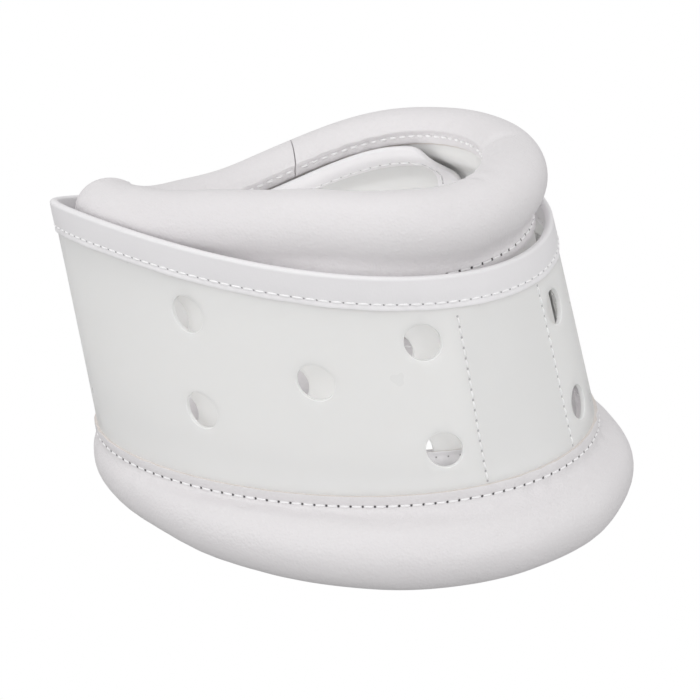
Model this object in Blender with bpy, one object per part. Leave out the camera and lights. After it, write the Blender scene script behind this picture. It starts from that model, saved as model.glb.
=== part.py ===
"""Adjustable two-band cervical collar: two nested plastic bands, padded rolls, tapes, patches and threads.

Z is up, the wearer faces -Y and the wearer's left is +X. Design values are in millimetres.
The angle round the collar is 0 at the front, 90 at the wearer's left and 180 at the back.
"""

import math

import bpy
from mathutils import Vector

MM = 0.001

# Rings: x = sum(a sin k), y = y[0] + sum(b cos k), z = z[0] + sum(c cos k) + sum(d sin k), k = 1, 2, ...
BASE_RING = {"x": (66.2, -5.0), "y": (-1.1, -88.1, 1.3), "z": (28.2, -4.5, -0.5, -0.2)}
EDGE_RING = {
    "x": (62.0, -8.0, -2.0),
    "y": (-13.5, -85.5, -1.5),
    "z": (100.1, -0.8, -0.5, 0.6),
    "twist": (2.1, 3.4),
}
LOWER_ROLL = {"x": (67.8, -6.1, -1.8), "y": (5.4, -84.4, 1.1), "z": (11.62,)}
UPPER_ROLL = {
    "x": (46.0, -8.8, 0.5),
    "y": (-12.5, -68.4, 0.9),
    "z": (105.3, -11.0, -1.0, 1.8, 1.2),
    "twist": (2.8, 3.9, 0.4),
}

# The collar leans forward. Its height slide and its flex line follow the lean.
LEAN = math.radians(10.0)
SLIDE = Vector((0, -math.sin(LEAN), math.cos(LEAN)))
FLEX_POINT = Vector((84.0, 16.3, 60.0))
FLEX_NORMAL = Vector((0, math.cos(LEAN), math.sin(LEAN)))
FLEX_GAP = 0.6
FLEX_ANGLE = 104.0
CLOSURE = -80.0
CLOSURE_GAP = 0.45
STEPS = {"front": 27, "rear": 23}

SHEET = 1.5
TAPE = 0.6
SKIN = 1.0
PAD = 0.8
THREAD = 0.35
CLEAR = 0.3

TAPE_DEPTH = 9.5
TAPE_SEAM = 7.6
LOWER_SHEET_GRIP = 6.0
NEST = 5.1
UPPER_SHEET_END = 34.0
UPPER_TAPE_DEPTH = 7.5

ROLL_RADIUS = 11.8
REST_TURN = math.radians(10.0)
FOAM_GAP = 1.9
LEG = SHEET / 2 + 0.7
UPPER_LEG_END = -15.0
UPPER_SHEET_TOP = -9.6
UPPER_SEAM = -12.0
LOWER_SEAM = 3.4

VENT_RADIUS = 6.0
LOWER_VENTS = {
    "front": ((69.5, 82.5), (69.7, 50.5), (97.1, 66.8), (-62.0, 80.0), (-62.0, 48.5)),
    "rear": (
        (121.8, 80.0), (122.6, 44.3), (166.2, 78.0), (167.7, 44.0),
        (193.8, 78.0), (192.3, 44.0), (238.2, 80.0), (237.4, 44.3), (262.9, 65.0),
    ),
}
UPPER_VENTS = {
    "front": ((61.5, 77.5), (60.4, 45.5), (89.8, 63.0), (-48.0, 74.0), (-48.0, 45.5)),
    "rear": ((115.5, 75.7), (116.6, 42.5), (200.0, 74.0), (199.0, 44.0)),
}

PATCH_ANGLES = (131.2, 159.3)
PATCH_HEIGHTS = (37.0, 86.0)
LOOP_HEIGHTS = (46.0, 86.0)
TAB_END = -129.0
TAB_BOTTOM = 46.0
TAB_INSET = 4.4
TAB_ROUND = 9.0
TAB_TOP = -18.9
TAB_MIDDLE = (-103.0, 66.0)
TAB_CLEAR = 0.5
TAB_ARC = 1.0


def ring(spec, angle):
    a = math.radians(angle)
    x = sum(c * math.sin((k + 1) * a) for k, c in enumerate(spec["x"]))
    y = sum(c * math.cos(k * a) for k, c in enumerate(spec["y"]))
    z = sum(c * math.cos(k * a) for k, c in enumerate(spec["z"]))
    z += sum(c * math.sin((k + 1) * a) for k, c in enumerate(spec.get("twist", ())))
    return Vector((x, y, z))


def ring_frame(spec, angle):
    """Centre, horizontal outward direction and horizontal direction along the ring."""
    along = ring(spec, angle + 0.5) - ring(spec, angle - 0.5)
    along.z = 0
    along.normalize()
    return ring(spec, angle), Vector((along.y, -along.x, 0)), along


def lower_normal(angle):
    along = ring(EDGE_RING, angle + 0.5) - ring(EDGE_RING, angle - 0.5)
    return along.cross(ring(EDGE_RING, angle) - ring(BASE_RING, angle)).normalized()


def lower_face(angle, z, inset=0.0):
    """A point on the lower band's outer face, or inset into the collar."""
    base, edge = ring(BASE_RING, angle), ring(EDGE_RING, angle)
    point = base.lerp(edge, (z - base.z) / (edge.z - base.z))
    return point - lower_normal(angle) * inset


def upper_face(angle, z, inset=0.0):
    """A point on the upper band's outer face, which nests inside the lower band."""
    return lower_face(angle, z, SHEET + NEST + inset)


def crossing(face, centre, along, angle, z):
    """The face's point at this height that lies in the roll's own cross-section."""
    for _ in range(4):
        here = (face(angle, z) - centre).dot(along)
        slope = (face(angle + 0.2, z) - centre).dot(along) - here
        angle -= 0.2 * here / slope
    return face(angle, z)


def roll_section(spec, face, angle):
    """Centre, outward direction and the offset of the band's mid-line from the roll's centre, by height."""
    centre, outward, along = ring_frame(spec, angle)

    def offset(v):
        point = crossing(face, centre, along, angle, centre.z + v)
        return (point - centre).dot(outward) - SHEET / 2

    return centre, outward, offset


def leg_root(offset, step, side):
    """Where a leg at this step from the band's mid-line meets the roll's round section: (u, v)."""
    v = 0.8 * ROLL_RADIUS
    for _ in range(3):
        u = offset(side * v) + step
        v = max(math.sqrt(max(ROLL_RADIUS ** 2 - u * u, 0.0)), 0.42 * ROLL_RADIUS)
    return offset(side * v) + step, v


def keyhole(spec, face, angle, side, leg_end):
    """Cross-section of a roll's cover: a round skin whose two legs grip the band."""
    centre, outward, offset = roll_section(spec, face, angle)
    out_u, out_v = leg_root(offset, LEG + SKIN, side)
    in_u, in_v = leg_root(offset, -LEG - SKIN, side)
    start = max(math.atan2(out_v, min(out_u, 0.97 * ROLL_RADIUS)), 0.2)
    stop = math.atan2(in_v, in_u) - 2 * math.pi
    low, high = -math.pi / 2 - REST_TURN, -math.pi / 2 + REST_TURN
    sweep = [start + (high - start) * t / 3 for t in range(4)]
    sweep += [low + (stop - low) * t / 4 for t in range(5)]
    end, tip = abs(leg_end), offset(leg_end)
    lift_out, lift_in = offset(side * (out_v + 0.4)), offset(side * (in_v + 0.4))
    outer = [(tip + LEG + SKIN, end), (lift_out + LEG + SKIN, out_v + 0.4)]
    outer += [(ROLL_RADIUS * math.cos(a), ROLL_RADIUS * math.sin(a)) for a in sweep]
    outer += [(lift_in - LEG - SKIN, in_v + 0.4), (tip - LEG - SKIN, end)]
    inside = ROLL_RADIUS - SKIN
    inner = [(tip - LEG, end), (lift_in - LEG, in_v + 0.2)]
    inner += [(inside * math.cos(a), inside * math.sin(a)) for a in reversed(sweep)]
    inner += [(lift_out + LEG, out_v + 0.2), (tip + LEG, end)]
    return [centre + outward * u + Vector((0, 0, side * v)) for u, v in outer + inner]


def lower_keyhole(angle):
    """The lower roll's section, whose lowest facet is the face that it rests on."""
    points = keyhole(LOWER_ROLL, lower_face, angle, 1, ring(BASE_RING, angle).z - LOWER_ROLL["z"][0])
    for point in points:
        if abs(point.z) < 0.05:
            point.z = 0.0
    return points


def foam_section(spec, angle):
    centre, outward, _ = ring_frame(spec, angle)
    radius = ROLL_RADIUS - SKIN - FOAM_GAP
    turns = [2 * math.pi * (k + 0.5) / 10 for k in range(10)]
    return [centre + outward * radius * math.cos(a) + Vector((0, 0, radius * math.sin(a))) for a in turns]


def wall_section(face, low, high):
    return lambda angle: [
        face(angle, high(angle)), face(angle, low(angle)),
        face(angle, low(angle), SHEET), face(angle, high(angle), SHEET),
    ]


def tape_section(face, edge, depth, upward):
    """A folded tape: two legs and the fold over the band's edge."""
    reach = depth * (-1 if upward else 1)
    crest = (CLEAR + TAPE) * (1 if upward else -1)
    gap = CLEAR * (1 if upward else -1)

    def section(angle):
        top = edge(angle)
        return [
            face(angle, top + reach, -CLEAR - TAPE), face(angle, top + crest, -CLEAR - TAPE),
            face(angle, top + crest, SHEET + CLEAR + TAPE), face(angle, top + reach, SHEET + CLEAR + TAPE),
            face(angle, top + reach, SHEET + CLEAR), face(angle, top + gap, SHEET + CLEAR),
            face(angle, top + gap, -CLEAR), face(angle, top + reach, -CLEAR),
        ]

    return section


def bead(point, outward, up, radius=THREAD):
    turns = (math.pi / 2, -math.pi / 6, 7 * math.pi / 6)
    return [point + outward * radius * math.cos(a) + up * radius * math.sin(a) for a in turns]


def tape_thread(angle):
    edge = ring(EDGE_RING, angle).z
    point = lower_face(angle, edge - TAPE_SEAM, -CLEAR - TAPE - 2 * THREAD)
    return bead(point, lower_normal(angle), Vector((0, 0, 1)))


def roll_thread(spec, face, height):
    def section(angle):
        centre, outward, offset = roll_section(spec, face, angle)
        seam = height(angle) - centre.z
        point = centre + outward * (offset(seam) + LEG + SKIN + 1.7 * THREAD) + Vector((0, 0, seam))
        return bead(point, outward, Vector((0, 0, 1)))

    return section


def at_flex(rail, side):
    """The angle at which a rail reaches its own side of the flex line's plane."""
    low, high = 70.0, 140.0
    for _ in range(40):
        middle = (low + high) / 2
        if (rail(middle) - FLEX_POINT).dot(FLEX_NORMAL) < side * FLEX_GAP / 2:
            low = middle
        else:
            high = middle
    return low


def solid(name, loops, material):
    """A closed body through these cross-sections, with a flat cap at each end."""
    count = len(loops[0])
    points = [p * MM for loop in loops for p in loop]
    faces = [list(range(count)), list(range((len(loops) - 1) * count, len(loops) * count))[::-1]]
    for row in range(len(loops) - 1):
        for k in range(count):
            a, b = row * count + k, row * count + (k + 1) % count
            faces.append([a, a + count, b + count, b])
    volume = 0.0
    for face in faces:
        for k in range(1, len(face) - 1):
            volume += points[face[0]].dot(points[face[k]].cross(points[face[k + 1]]))
    if volume < 0:
        faces = [face[::-1] for face in faces]
    mesh = bpy.data.meshes.new(name)
    mesh.from_pydata(points, [], faces)
    mesh.materials.append(material)
    obj = bpy.data.objects.new(name, mesh)
    bpy.context.scene.collection.objects.link(obj)
    return obj


def half_ring(name, section, half, material):
    """Sweep a section over the front or the rear half, each rail ending on the flex plane."""
    count = len(section(0.0))
    rails = [(lambda angle, k=k: section(angle)[k]) for k in range(count)]
    limits = [at_flex(rail, -1 if half == "front" else 1) for rail in rails]
    end = CLOSURE + CLOSURE_GAP if half == "front" else CLOSURE + 360 - CLOSURE_GAP
    loops, steps = [], STEPS[half]
    for row in range(steps + 1):
        t = row / steps
        angle = end + (FLEX_ANGLE - end) * t
        loops.append([rail(angle + (limit - FLEX_ANGLE) * t ** 5) for rail, limit in zip(rails, limits)])
    return solid(name, loops, material)


def vent_cutter(name, face, places):
    """One helper that holds a short round punch for each vent."""
    points, faces = [], []
    for angle, z in places:
        centre = face(angle, z)
        along = (face(angle + 0.5, z) - face(angle - 0.5, z)).normalized()
        up = (face(angle, z + 1) - face(angle, z - 1)).normalized()
        normal = along.cross(up).normalized()
        up = normal.cross(along)
        first = len(points)
        for depth in (3.0, -4.5):
            for k in range(16):
                a = 2 * math.pi * k / 16
                around = along * math.cos(a) + up * math.sin(a)
                points.append((centre + around * VENT_RADIUS + normal * depth) * MM)
        faces.append([first + k for k in range(16)])
        faces.append([first + 16 + k for k in reversed(range(16))])
        for k in range(16):
            n = (k + 1) % 16
            faces.append([first + k, first + 16 + k, first + 16 + n, first + n])
    mesh = bpy.data.meshes.new(name)
    mesh.from_pydata(points, [], faces)
    cutter = bpy.data.objects.new(name, mesh)
    bpy.context.scene.collection.objects.link(cutter)
    hide_helper(cutter)
    return cutter


def hide_helper(obj):
    obj.hide_render = True
    obj.display_type = "WIRE"


def boolean(obj, other, operation):
    modifier = obj.modifiers.new(operation.lower(), "BOOLEAN")
    modifier.operation = operation
    modifier.solver = "EXACT"
    modifier.object = other


def plate(name, face, angles, heights, inset, material, steps=6):
    """A thin pad that lies along a band's face."""
    low, high = heights
    loops = []
    for row in range(steps + 1):
        angle = angles[0] + (angles[1] - angles[0]) * row / steps
        loops.append([
            face(angle, high(angle), inset), face(angle, low(angle), inset),
            face(angle, low(angle), inset + PAD), face(angle, high(angle), inset + PAD),
        ])
    return solid(name, loops, material)


def tab_inset(angle):
    """The tab leaves the band's inner face and runs inside the other end."""
    t = min(max((-66.0 - angle) / 12.5, 0.0), 1.0)
    return 0.7 + (TAB_INSET - 0.7) * t * t * (3 - 2 * t)


def tab_heights(angle):
    """Bottom and top of the tab, rounded off towards its free end."""
    top = ring(UPPER_ROLL, angle).z + TAB_TOP
    left = (angle - TAB_END) * TAB_ARC
    drop = 0.0
    if left < TAB_ROUND:
        drop = TAB_ROUND - math.sqrt(max(TAB_ROUND ** 2 - (TAB_ROUND - left) ** 2, 0.0))
    return TAB_BOTTOM + drop, top - drop


def tab_angles(start):
    body = [start + (TAB_END + 9.6 - start) * k / 10 for k in range(10)]
    return body + [TAB_END + d for d in (8.6, 6.8, 5.2, 3.8, 2.6, 1.6, 0.8, 0.2, 0.0)]


def tab_solid(name, material):
    loops = []
    for angle in tab_angles(-66.0):
        low, high = tab_heights(angle)
        inset = tab_inset(angle)
        loops.append([
            upper_face(angle, high, inset), upper_face(angle, low, inset),
            upper_face(angle, low, inset + SHEET), upper_face(angle, high, inset + SHEET),
        ])
    return solid(name, loops, material)


def tab_outline(start):
    """The tab's edge from its top start, round its free end, and back along its bottom."""
    angles = tab_angles(start)
    top = [(angle, tab_heights(angle)[1]) for angle in angles]
    bottom = [(angle, tab_heights(angle)[0]) for angle in reversed(angles)]
    return top + bottom


def tab_channel(name, start, shape, material):
    """Sweep a shape of (distance in from the edge, depth under the face) round the tab's edge."""
    outline = tab_outline(start)
    flat = [Vector((angle * TAB_ARC, z)) for angle, z in outline]
    middle = Vector((TAB_MIDDLE[0] * TAB_ARC, TAB_MIDDLE[1]))
    loops = []
    for k, (angle, z) in enumerate(outline):
        before, after = flat[k] - flat[max(k - 1, 0)], flat[min(k + 1, len(flat) - 1)] - flat[k]
        along = (before.normalized() + after.normalized()).normalized()
        inward = Vector((-along.y, along.x))
        if (middle - flat[k]).dot(inward) < 0:
            inward.negate()
        inset = tab_inset(angle)
        loops.append([
            upper_face(angle + inward.x * across / TAB_ARC, z + inward.y * across, inset + depth)
            for across, depth in shape
        ])
    return solid(name, loops, material)


def tab_tape(name, material):
    """The tape folded round the tab's edge, as one channel-shaped strip."""
    near, far = -TAB_CLEAR - TAPE, SHEET + TAB_CLEAR + TAPE
    depth = UPPER_TAPE_DEPTH
    shape = (
        (depth, near), (near, near), (near, far), (depth, far),
        (depth, far - TAPE), (-TAB_CLEAR, far - TAPE), (-TAB_CLEAR, near + TAPE), (depth, near + TAPE),
    )
    return tab_channel(name, -82.5, shape, material)


def tab_thread(name, material):
    depth = SHEET + TAB_CLEAR + TAPE + 2.4 * THREAD
    low, high = 5.6 - THREAD / 2, 5.6 + THREAD
    return tab_channel(name, -83.0, ((high, depth), (low, depth + THREAD), (low, depth - THREAD)), material)


def seam_line(name, angle, low, high, material):
    """A straight row of thread down the lower band's outer face."""
    normal = lower_normal(angle)
    along = (lower_face(angle + 0.5, 60) - lower_face(angle - 0.5, 60)).normalized()
    loops = []
    for k in range(4):
        point = lower_face(angle, low + (high - low) * k / 3, -2 * THREAD)
        loops.append(bead(point, normal, along))
    return solid(name, loops, material)


def make_material(name, colour, roughness, sheen=0.0):
    material = bpy.data.materials.new(name)
    material.use_nodes = True
    shader = material.node_tree.nodes["Principled BSDF"]
    shader.inputs["Base Color"].default_value = (*colour, 1)
    shader.inputs["Roughness"].default_value = roughness
    shader.inputs["Metallic"].default_value = 0.0
    shader.inputs["Sheen Weight"].default_value = sheen
    return material


def make_empty(name, place):
    empty = bpy.data.objects.new(name, None)
    empty.empty_display_size = 0.02
    empty.location = place * MM
    bpy.context.scene.collection.objects.link(empty)
    return empty


def parent_to(empty, objects):
    for obj in objects:
        obj.parent = empty
        obj.matrix_parent_inverse.identity()
        obj.location = -empty.location if empty.parent is None else -empty.parent.location - empty.location


def clear_scene():
    for obj in list(bpy.data.objects):
        bpy.data.objects.remove(obj)


def lower_half(half, m):
    edge = lambda angle: ring(EDGE_RING, angle).z
    low = lambda angle: ring(BASE_RING, angle).z - LOWER_SHEET_GRIP
    band = half_ring("lower_band_" + half, wall_section(lower_face, low, edge), half, m["sheet"])
    boolean(band, vent_cutter("lower_vent_cutter_" + half, lower_face, LOWER_VENTS[half]), "DIFFERENCE")
    tape = tape_section(lower_face, edge, TAPE_DEPTH, True)
    thread = roll_thread(LOWER_ROLL, lower_face, lambda angle: ring(BASE_RING, angle).z - LOWER_SEAM)
    return [
        band,
        half_ring("lower_top_tape_" + half, tape, half, m["tape"]),
        half_ring("lower_tape_thread_" + half, tape_thread, half, m["thread"]),
        half_ring("lower_roll_cover_" + half, lower_keyhole, half, m["vinyl"]),
        half_ring("lower_roll_foam_" + half, lambda a: foam_section(LOWER_ROLL, a), half, m["foam"]),
        half_ring("lower_roll_thread_" + half, thread, half, m["thread"]),
    ]


def upper_half(half, m):
    low = lambda angle: UPPER_SHEET_END
    high = lambda angle: ring(UPPER_ROLL, angle).z + UPPER_SHEET_TOP
    band = half_ring("upper_band_" + half, wall_section(upper_face, low, high), half, m["sheet"])
    if half == "front":
        tab = tab_solid("tab_shape", m["sheet"])
        hide_helper(tab)
        boolean(band, tab, "UNION")
    boolean(band, vent_cutter("upper_vent_cutter_" + half, upper_face, UPPER_VENTS[half]), "DIFFERENCE")
    cover = lambda angle: keyhole(UPPER_ROLL, upper_face, angle, -1, UPPER_LEG_END)
    tape = tape_section(upper_face, low, UPPER_TAPE_DEPTH, False)
    thread = roll_thread(UPPER_ROLL, upper_face, lambda angle: ring(UPPER_ROLL, angle).z + UPPER_SEAM)
    return [
        band,
        half_ring("upper_bottom_tape_" + half, tape, half, m["tape"]),
        half_ring("upper_roll_cover_" + half, cover, half, m["vinyl"]),
        half_ring("upper_roll_foam_" + half, lambda a: foam_section(UPPER_ROLL, a), half, m["foam"]),
        half_ring("upper_roll_thread_" + half, thread, half, m["thread"]),
    ]


def patches(m):
    """Hook patches inside the lower band, loop patches outside the upper band, and their seams."""
    lower, upper = [], []
    flat = lambda z: (lambda angle: z)
    hooks, loops = tuple(map(flat, PATCH_HEIGHTS)), tuple(map(flat, LOOP_HEIGHTS))
    for side, (a, b) in {"left": PATCH_ANGLES, "right": (360 - PATCH_ANGLES[1], 360 - PATCH_ANGLES[0])}.items():
        inner = (a + 1.2, b - 1.2)
        lower.append(plate("hook_patch_" + side, lower_face, inner, hooks, SHEET + 2.5 * CLEAR, m["hook"]))
        upper.append(plate("loop_patch_" + side, upper_face, inner, loops, -1.5 * CLEAR - PAD, m["loop"]))
        for number, angle in enumerate((a, b), 1):
            low = ring(BASE_RING, angle).z + 3.0
            high = ring(EDGE_RING, angle).z - TAPE_DEPTH - 1.0
            name = f"patch_thread_{side}_{number}"
            lower.append(seam_line(name, angle, low, high, m["thread"]))
    return lower, upper


def closure(m):
    """Hook pad outside the tab, loop pad inside the other end, and the tab's tape and thread."""
    heights = (lambda angle: TAB_BOTTOM + 9.5, lambda angle: tab_heights(angle)[1] - 9.5)
    hook = plate(
        "tab_hook_pad", upper_face, (-86.0, -119.0), heights, TAB_INSET - CLEAR - PAD, m["hook"]
    )
    loop = plate("end_loop_pad", upper_face, (-84.0, -119.0), heights, SHEET + 1.6 * CLEAR, m["loop"])
    return [hook, tab_tape("tab_tape", m["tape"]), tab_thread("tab_thread", m["thread"])], [loop]


def main():
    clear_scene()
    materials = {
        "sheet": make_material("polyethylene_sheet", (0.76, 0.76, 0.75), 0.32),
        "vinyl": make_material("vinyl_cover", (0.80, 0.78, 0.78), 0.42),
        "tape": make_material("vinyl_tape", (0.82, 0.80, 0.81), 0.45),
        "foam": make_material("polyurethane_foam", (0.85, 0.83, 0.74), 0.9),
        "thread": make_material("polyester_thread", (0.72, 0.71, 0.72), 0.6),
        "hook": make_material("hook_tape", (0.82, 0.82, 0.81), 0.7),
        "loop": make_material("loop_tape", (0.84, 0.84, 0.83), 0.9, 0.5),
    }
    lower_front, lower_rear = lower_half("front", materials), lower_half("rear", materials)
    upper_front, upper_rear = upper_half("front", materials), upper_half("rear", materials)
    lower_patches, upper_patches = patches(materials)
    tab_pieces, end_pieces = closure(materials)
    lower_hinge = make_empty("lower_flex_axis", FLEX_POINT)
    slide = make_empty("height_slide_axis", Vector((0.0, 0.0, 60.0)))
    upper_hinge = make_empty("upper_flex_axis", FLEX_POINT - Vector((0.0, 0.0, 60.0)))
    upper_hinge.parent = slide
    parent_to(lower_hinge, lower_rear + lower_patches)
    parent_to(slide, upper_front + tab_pieces)
    parent_to(upper_hinge, upper_rear + upper_patches + end_pieces)


main()
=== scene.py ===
"""The looks of an adjustable two-band cervical collar: milky bands, sewn rolls, tapes, patches and threads.

Shapes are worked out in millimetres and made in metres. The angle round the collar is 0 at the chin, 90 at
the wearer's left and 180 at the back, and each ring-shaped piece starts and ends at the closure at -80.
"""

import math

import bpy
import numpy as np
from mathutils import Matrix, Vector
from mathutils.geometry import delaunay_2d_cdt


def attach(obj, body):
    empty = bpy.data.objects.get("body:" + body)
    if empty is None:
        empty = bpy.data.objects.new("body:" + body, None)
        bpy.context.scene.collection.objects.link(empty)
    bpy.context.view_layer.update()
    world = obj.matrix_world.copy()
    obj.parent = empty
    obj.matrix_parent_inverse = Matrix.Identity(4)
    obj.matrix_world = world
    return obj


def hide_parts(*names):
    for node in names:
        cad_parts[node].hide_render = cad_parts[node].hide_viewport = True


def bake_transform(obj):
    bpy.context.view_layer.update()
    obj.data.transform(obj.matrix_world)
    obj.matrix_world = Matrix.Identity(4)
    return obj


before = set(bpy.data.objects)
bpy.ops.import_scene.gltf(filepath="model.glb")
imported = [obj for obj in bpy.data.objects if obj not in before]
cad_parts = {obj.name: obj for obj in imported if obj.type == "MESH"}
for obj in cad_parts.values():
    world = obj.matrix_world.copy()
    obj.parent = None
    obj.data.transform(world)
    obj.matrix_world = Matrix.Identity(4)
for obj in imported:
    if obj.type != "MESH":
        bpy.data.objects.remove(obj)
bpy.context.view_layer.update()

MM = 0.001

# Rings: x = sum(a sin k), y = y[0] + sum(b cos k), z = z[0] + sum(c cos k) + sum(d sin k), k = 1, 2, ...
BASE_RING = {"x": (66.2, -5.0), "y": (-1.1, -88.1, 1.3), "z": (28.2, -4.5, -0.5, -0.2)}
EDGE_RING = {
    "x": (62.0, -8.0, -2.0), "y": (-13.5, -85.5, -1.5),
    "z": (100.1, -0.8, -0.5, 0.6), "twist": (2.1, 3.4),
}
LOWER_ROLL = {"x": (67.8, -6.1, -1.8), "y": (5.4, -84.4, 1.1), "z": (11.62,)}
UPPER_ROLL = {
    "x": (46.0, -8.8, 0.5), "y": (-12.5, -68.4, 0.9),
    "z": (105.3, -11.0, -1.0, 1.8, 1.2), "twist": (2.8, 3.9, 0.4),
}
CLOSURE = -80.0
END_GAP = 0.3
CUT = 205.0

LEAN = math.radians(10.0)
FLEX_POINT = np.array((84.0, 16.3, 60.0))
FLEX_NORMAL = np.array((0.0, math.cos(LEAN), math.sin(LEAN)))
FLEX_REACH = 26.0

SHEET = 1.5
TAPE = 0.55
SKIN = 0.9
SNUG = 0.08
NEST = 5.1
UPPER_SHEET_END = 34.0
LOWER_SHEET_GRIP = 6.0
UPPER_SHEET_TOP = 4.8
TAPE_DEPTH = 9.5
TAPE_SEAM = 7.6
UPPER_TAPE_DEPTH = 7.5
UPPER_TAPE_SEAM = 5.6
ROLL_RADIUS = 11.8
LOWER_SEAM = 3.4
UPPER_SEAM = 2.6
OUTER_LEG_END = -15.9
INNER_LEG_END = 1.0
INNER_LEAVE = 213.0
LIP_DEPTH = 13.5
LIP_REACH = 7.0
VENT_RADIUS = 6.0
PITCH = 4.0
THREAD = 0.34
GRID = 2.4
RIM = 0.22
INNER_HEAD_THREAD = 0.5
FAR_FROM_SEAM = 9.0

LOWER_VENTS = (
    (69.5, 82.5), (69.7, 50.5), (97.1, 66.8), (-62.0, 80.0), (-62.0, 48.5),
    (121.8, 80.0), (122.6, 44.3), (166.2, 78.0), (167.7, 44.0),
    (193.8, 78.0), (192.3, 44.0), (238.2, 80.0), (237.4, 44.3), (262.9, 65.0),
)
UPPER_VENTS = (
    (61.5, 77.5), (60.4, 45.5), (89.8, 63.0), (-48.0, 74.0), (-48.0, 45.5),
    (115.5, 75.7), (116.6, 42.5), (200.0, 74.0), (199.0, 44.0),
)

PATCH_ANGLES = (131.2, 159.3)
PATCH_HEIGHTS = (37.0, 86.0)
LOOP_HEIGHTS = (46.0, 86.0)
TAB_MIDDLE = np.array((-103.0, 66.0))
TAB_END = -129.0
TAB_START = -54.0
TAB_BOTTOM = 46.0
TAB_INSET = 4.4
TAB_ROUND = 9.0
TAB_TOP = 1.4
PAD_TOP = 77.0

SIDE_LIGHT = 0.74
TOP_LIGHT = 0.66
FLOOR_LIGHT = 0.42
INNER_LIGHT = 0.036
SOFTBOXES = (
    ("front_softbox", (0.85, -0.45, 0.50), 0.8, 1.7),
    ("rear_softbox", (0.75, 0.7, 0.35), 0.7, 1.9),
    ("top_softbox", (0.1, -0.1, 1.0), 0.8, 1.5),
    ("left_softbox", (0.35, -0.9, 0.22), 0.7, 1.5),
    ("right_softbox", (0.35, 0.9, 0.22), 0.7, 0.7),
)


# ---------------------------------------------------------------- shape

def ring(spec, angle):
    a = np.radians(np.asarray(angle, float))
    x = sum(c * np.sin((k + 1) * a) for k, c in enumerate(spec["x"]))
    y = sum(c * np.cos(k * a) for k, c in enumerate(spec["y"]))
    z = sum(c * np.cos(k * a) for k, c in enumerate(spec["z"]))
    z = z + sum(c * np.sin((k + 1) * a) for k, c in enumerate(spec.get("twist", ())))
    return np.stack([x, y, z], -1)


def unit(v):
    return v / np.linalg.norm(v, axis=-1, keepdims=True)


def lower_normal(angle):
    angle = np.asarray(angle, float)
    along = ring(EDGE_RING, angle + 0.5) - ring(EDGE_RING, angle - 0.5)
    return unit(np.cross(along, ring(EDGE_RING, angle) - ring(BASE_RING, angle)))


def lower_face(angle, z, inset=0.0):
    """A point on the lower band's outer face, or inset into the collar."""
    base, edge = ring(BASE_RING, angle), ring(EDGE_RING, angle)
    t = ((z - base[..., 2]) / (edge[..., 2] - base[..., 2]))[..., None]
    inset = np.asarray(inset, float)[..., None]
    return base + (edge - base) * t - lower_normal(angle) * inset


def lip(angle, z):
    """How far the upper band's lip leans inwards under the head roll."""
    centre, outward, _ = roll_frame(UPPER_ROLL, angle)
    plain = lower_face(angle, centre[..., 2], SHEET + NEST)
    reach = ((plain - centre) * outward).sum(-1) - SHEET / 2 + LIP_REACH
    t = np.clip((z - centre[..., 2]) / LIP_DEPTH + 1, 0, 1)
    return reach * t * t * (3 - 2 * t)


def upper_face(angle, z, inset=0.0):
    """A point on the upper band's outer face, which nests inside the lower band."""
    return lower_face(angle, z, SHEET + NEST + lip(angle, z) + np.asarray(inset, float))


def edge_height(angle):
    return ring(EDGE_RING, angle)[..., 2]


def base_height(angle):
    return ring(BASE_RING, angle)[..., 2]


def roll_height(angle):
    return ring(UPPER_ROLL, angle)[..., 2]


def arc_length(path, angles):
    """Distance along a path of angles, in millimetres."""
    points = path(angles)
    steps = np.linalg.norm(np.diff(points, axis=0), axis=1)
    return np.concatenate([[0.0], np.cumsum(steps)])


def even_angles(path, start, end, spacing):
    """Angles from start to end that are about this far apart along a path."""
    fine = np.linspace(start, end, 721)
    length = arc_length(path, fine)
    count = max(int(round(length[-1] / spacing)), 2)
    return np.interp(np.linspace(0, length[-1], count + 1), length, fine)


def waves(seed, angle, across, reach, count=14, slow=6, fast=40):
    """Smooth uneven ripples of about unit height, by angle and by distance across the piece."""
    draw = np.random.RandomState(seed)
    total = 0.0
    for _ in range(count):
        turns, rise = draw.randint(slow, fast), draw.uniform(-1, 1) * 2 * math.pi / reach
        total = total + np.cos(np.radians(angle) * turns + across * rise + draw.uniform(0, 2 * math.pi))
    return total / math.sqrt(count)


# ---------------------------------------------------------------- meshes

def make_object(name, points, faces, materials, uvs=None, slots=None, sharp=50.0):
    """A mesh object from millimetre points, with optional per-corner UVs and per-face material slots."""
    mesh = bpy.data.meshes.new(name)
    mesh.from_pydata((np.asarray(points) * MM).tolist(), [], faces)
    for material in materials:
        mesh.materials.append(material)
    if uvs is not None:
        layer = mesh.uv_layers.new(name="UVMap")
        corners = np.concatenate([np.asarray(uvs[k], float) for k in range(len(faces))])
        layer.data.foreach_set("uv", corners.ravel())
    if slots is not None:
        mesh.polygons.foreach_set("material_index", np.asarray(slots, np.int32))
    mesh.shade_smooth()
    mesh.set_sharp_from_angle(angle=math.radians(sharp))
    mesh.validate()
    obj = bpy.data.objects.new(name, mesh)
    bpy.context.scene.collection.objects.link(obj)
    return obj


def outward_faces(points, faces):
    """The faces, turned round if the closed body that they make is inside out."""
    volume = 0.0
    for face in faces:
        a = points[face[0]]
        for k in range(1, len(face) - 1):
            volume += np.dot(a, np.cross(points[face[k]], points[face[k + 1]]))
    return faces if volume > 0 else [face[::-1] for face in faces]


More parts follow.
